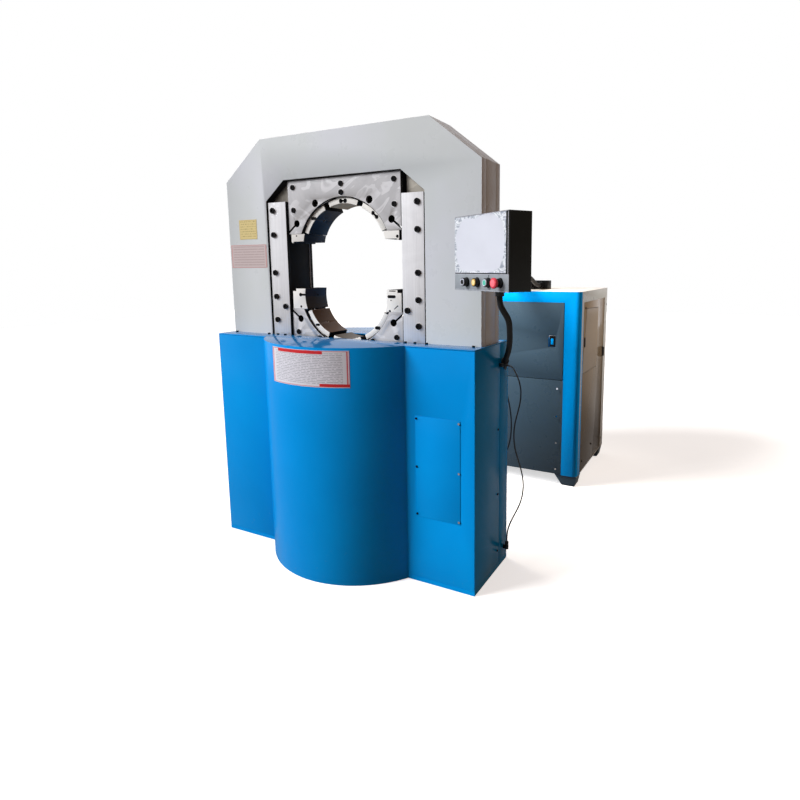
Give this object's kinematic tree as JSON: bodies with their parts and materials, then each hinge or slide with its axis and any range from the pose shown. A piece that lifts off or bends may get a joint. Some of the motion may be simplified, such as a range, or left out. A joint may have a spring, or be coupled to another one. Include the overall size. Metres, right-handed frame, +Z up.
{
  "type": "hose crimping machine",
  "caption": "Vertical O-frame hose press with a ring of sliding dies, a hydraulic ram in its base, a swivel control box and a separate power unit.",
  "frame": {"origin": "on the floor, under the middle of the press base", "axes": "+Z up, +Y away from the operator along the crimp axis, +X to the operator's right"},
  "size_m": [1.7799, 2.4305, 2.082],
  "materials": {
    "blue_paint": "gloss",
    "grey_paint": "satin",
    "machined_steel": "ground",
    "die_steel": "ground",
    "dark_steel": "oiled",
    "chromed_rod": "polished",
    "cylinder_steel": "satin",
    "black_oxide": "matt",
    "seal_rubber": "matt",
    "box_black": "satin",
    "strip_silver": "satin",
    "screen_film": "film",
    "yellow_plastic": "gloss",
    "green_plastic": "gloss",
    "red_plastic": "gloss",
    "slate_paint": "satin",
    "tank_paint": "satin",
    "pump_iron": "as cast"
  },
  "bodies": {
    "root": {"base_floor_plate": "dark_steel", "base_cabinet": "blue_paint", "base_top_plate": "blue_paint", "front_drum_cover": "blue_paint", "rear_drum_cover": "blue_paint", "front_service_panel": "blue_paint", "side_covers": "blue_paint", "base_screws": "black_oxide", "frame_front_plate": "grey_paint", "frame_middle_plate": "grey_paint", "frame_rear_plate": "grey_paint", "cylinder_barrel": "cylinder_steel", "cylinder_gland": "cylinder_steel", "rod_seal": "seal_rubber", "guide_blocks": "dark_steel", "guide_rails": "machined_steel", "corner_plates": "machined_steel", "frame_bolts": "black_oxide", "upper_die_holder": "machined_steel", "upper_holder_plates": "machined_steel", "top_die": "die_steel", "arm_bracket": "grey_paint", "support_arm": "grey_paint", "conduit": "box_black", "side_cable": "box_black", "rear_cable": "box_black", "left_hose": "seal_rubber", "right_hose": "seal_rubber", "cable_glands": "box_black", "hose_fittings": "black_oxide", "unit_frame": "blue_paint", "unit_panels": "slate_paint", "oil_tank": "tank_paint", "pump_motor": "tank_paint", "oil_pump": "pump_iron"},
    "ram": {"ram_piston": "chromed_rod", "ram_plate": "machined_steel", "lower_die_holder": "machined_steel", "lower_holder_plates": "machined_steel", "lower_holder_bolts": "black_oxide", "bottom_die": "die_steel"},
    "control_box": {"control_housing": "box_black", "control_panel": "box_black", "button_strip": "strip_silver", "touch_screen": "screen_film", "box_hinge": "grey_paint"},
    "unit_door": {"unit_door": "slate_paint", "unit_door_pull": "strip_silver"},
    "upper_left_die": {"upper_left_die": "die_steel"},
    "upper_right_die": {"upper_right_die": "die_steel"},
    "upper_left_side_die": {"upper_left_side_die": "die_steel"},
    "upper_right_side_die": {"upper_right_side_die": "die_steel"},
    "lower_left_die": {"lower_left_die": "die_steel"},
    "lower_right_die": {"lower_right_die": "die_steel"},
    "lower_left_side_die": {"lower_left_side_die": "die_steel"},
    "lower_right_side_die": {"lower_right_side_die": "die_steel"},
    "selector_knob": {"selector_knob": "box_black"},
    "yellow_button": {"yellow_button": "yellow_plastic"},
    "green_button": {"green_button": "green_plastic"},
    "stop_button": {"stop_button": "red_plastic"}
  },
  "joints": [
    {"name": "ram_lift", "type": "slide", "parent": "root", "child": "ram", "axis": [0, 0, 1], "range_m": [0, 0.233]},
    {"name": "upper_left_die_slide", "type": "slide", "parent": "root", "child": "upper_left_die", "axis": [0.9239, 0, 0.3827], "range_m": [0, 0.02699]},
    {"name": "upper_left_side_die_slide", "type": "slide", "parent": "root", "child": "upper_left_side_die", "axis": [1, 0, 0], "range_m": [0, 0.0352]},
    {"name": "upper_right_die_slide", "type": "slide", "parent": "root", "child": "upper_right_die", "axis": [-0.9239, 0, 0.3827], "range_m": [0, 0.02699]},
    {"name": "upper_right_side_die_slide", "type": "slide", "parent": "root", "child": "upper_right_side_die", "axis": [-1, 0, 0], "range_m": [0, 0.0352]},
    {"name": "lower_left_die_slide", "type": "slide", "parent": "ram", "child": "lower_left_die", "axis": [0.9239, 0, -0.3827], "range_m": [0, 0.02699]},
    {"name": "lower_left_side_die_slide", "type": "slide", "parent": "ram", "child": "lower_left_side_die", "axis": [1, 0, 0], "range_m": [0, 0.0352]},
    {"name": "lower_right_die_slide", "type": "slide", "parent": "ram", "child": "lower_right_die", "axis": [-0.9239, 0, -0.3827], "range_m": [0, 0.02699]},
    {"name": "lower_right_side_die_slide", "type": "slide", "parent": "ram", "child": "lower_right_side_die", "axis": [-1, 0, 0], "range_m": [0, 0.0352]},
    {"name": "box_swivel", "type": "hinge", "parent": "root", "child": "control_box", "pos_m": [0.90522, -0.15931, 1.5], "axis": [0, 0, 1], "range_deg": [-4, 55]},
    {"name": "yellow_button_press", "type": "slide", "parent": "control_box", "child": "yellow_button", "axis": [0.5225, 0.8526, 0], "range_m": [0, 0.004], "stiffness_N_per_m": 900, "springref_m": -0.001},
    {"name": "green_button_press", "type": "slide", "parent": "control_box", "child": "green_button", "axis": [0.5225, 0.8526, 0], "range_m": [0, 0.004], "stiffness_N_per_m": 900, "springref_m": -0.001},
    {"name": "stop_button_press", "type": "slide", "parent": "control_box", "child": "stop_button", "axis": [0.5225, 0.8526, 0], "range_m": [0, 0.005], "stiffness_N_per_m": 900, "springref_m": -0.001},
    {"name": "selector_turn", "type": "hinge", "parent": "control_box", "child": "selector_knob", "pos_m": [0.74203, -0.25048, 1.3835], "axis": [0.5225, 0.8526, 0], "range_deg": [-45, 45]},
    {"name": "unit_door_swing", "type": "hinge", "parent": "root", "child": "unit_door", "pos_m": [-0.008, 1.219, 0.96], "axis": [0, 0, 1], "range_deg": [-110, 0]}
  ],
  "couplings": [
    {"joint": "upper_left_die_slide", "follows": "ram_lift", "ratio": 0.11497},
    {"joint": "upper_left_side_die_slide", "follows": "ram_lift", "ratio": 0.15021},
    {"joint": "upper_right_die_slide", "follows": "ram_lift", "ratio": 0.11497},
    {"joint": "upper_right_side_die_slide", "follows": "ram_lift", "ratio": 0.15021},
    {"joint": "lower_left_die_slide", "follows": "ram_lift", "ratio": 0.11497},
    {"joint": "lower_left_side_die_slide", "follows": "ram_lift", "ratio": 0.15021},
    {"joint": "lower_right_die_slide", "follows": "ram_lift", "ratio": 0.11497},
    {"joint": "lower_right_side_die_slide", "follows": "ram_lift", "ratio": 0.15021}
  ]
}
